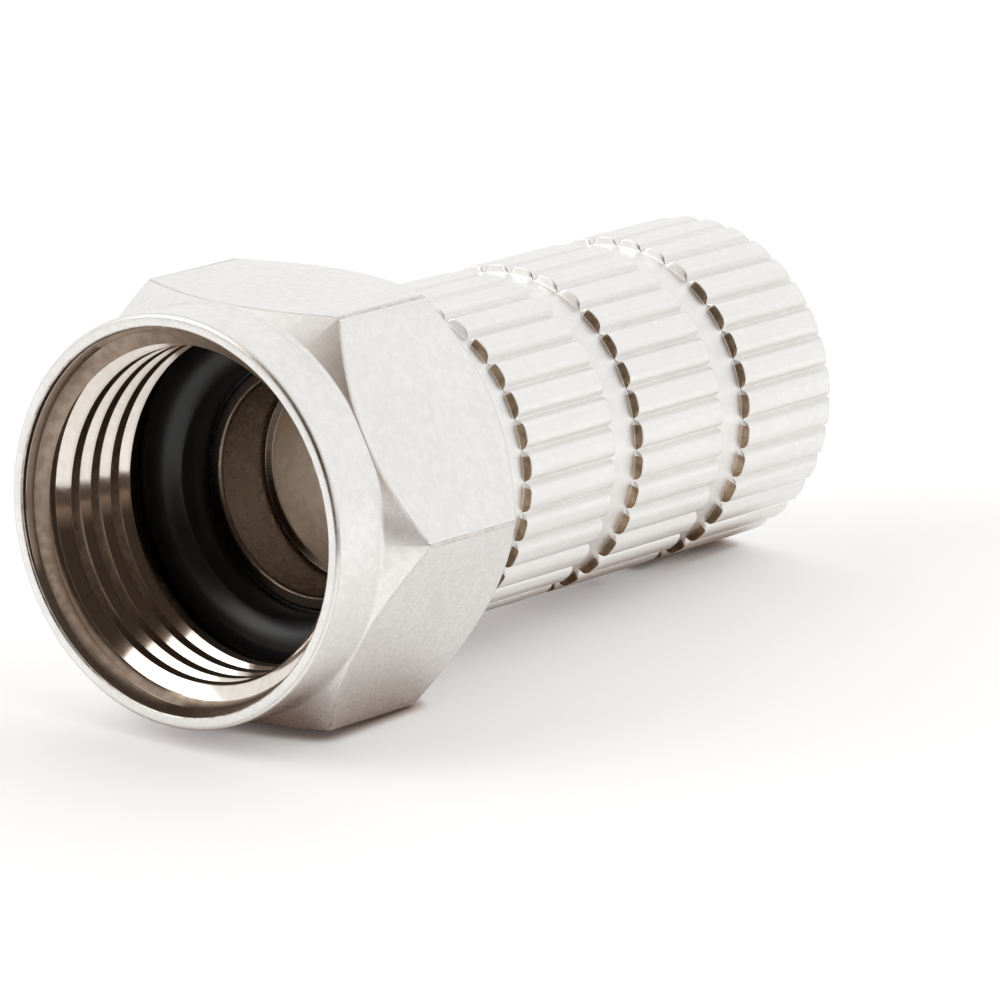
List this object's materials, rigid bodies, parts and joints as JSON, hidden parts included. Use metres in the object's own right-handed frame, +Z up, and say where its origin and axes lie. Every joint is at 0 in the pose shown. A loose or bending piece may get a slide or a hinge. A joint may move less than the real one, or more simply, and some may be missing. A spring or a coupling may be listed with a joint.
{
  "type": "f connector",
  "caption": "Twist-on male F connector: a free-turning hexagonal coupling nut with an internal thread, a black sealing ring and a straight-knurled body that screws onto a coaxial cable.",
  "frame": {"origin": "on the connector's axis at the outer end of the port thread, just inside the nut's mouth", "axes": "+X along the axis from the nut's mouth to the cable entry, +Z up with two hexagon flats level"},
  "size_m": [0.0231, 0.0128, 0.011],
  "materials": {
    "nickel": "bright nickel plating",
    "seal_rubber": "satin"
  },
  "bodies": {
    "body": {"cable_body": "nickel", "sealing_ring": "seal_rubber"},
    "nut": {"coupling_nut": "nickel"}
  },
  "joints": [
    {"name": "nut_spin", "type": "hinge", "parent": "body", "child": "nut", "pos_m": [0.00615, 0, 0], "axis": [1, 0, 0], "continuous": true}
  ]
}
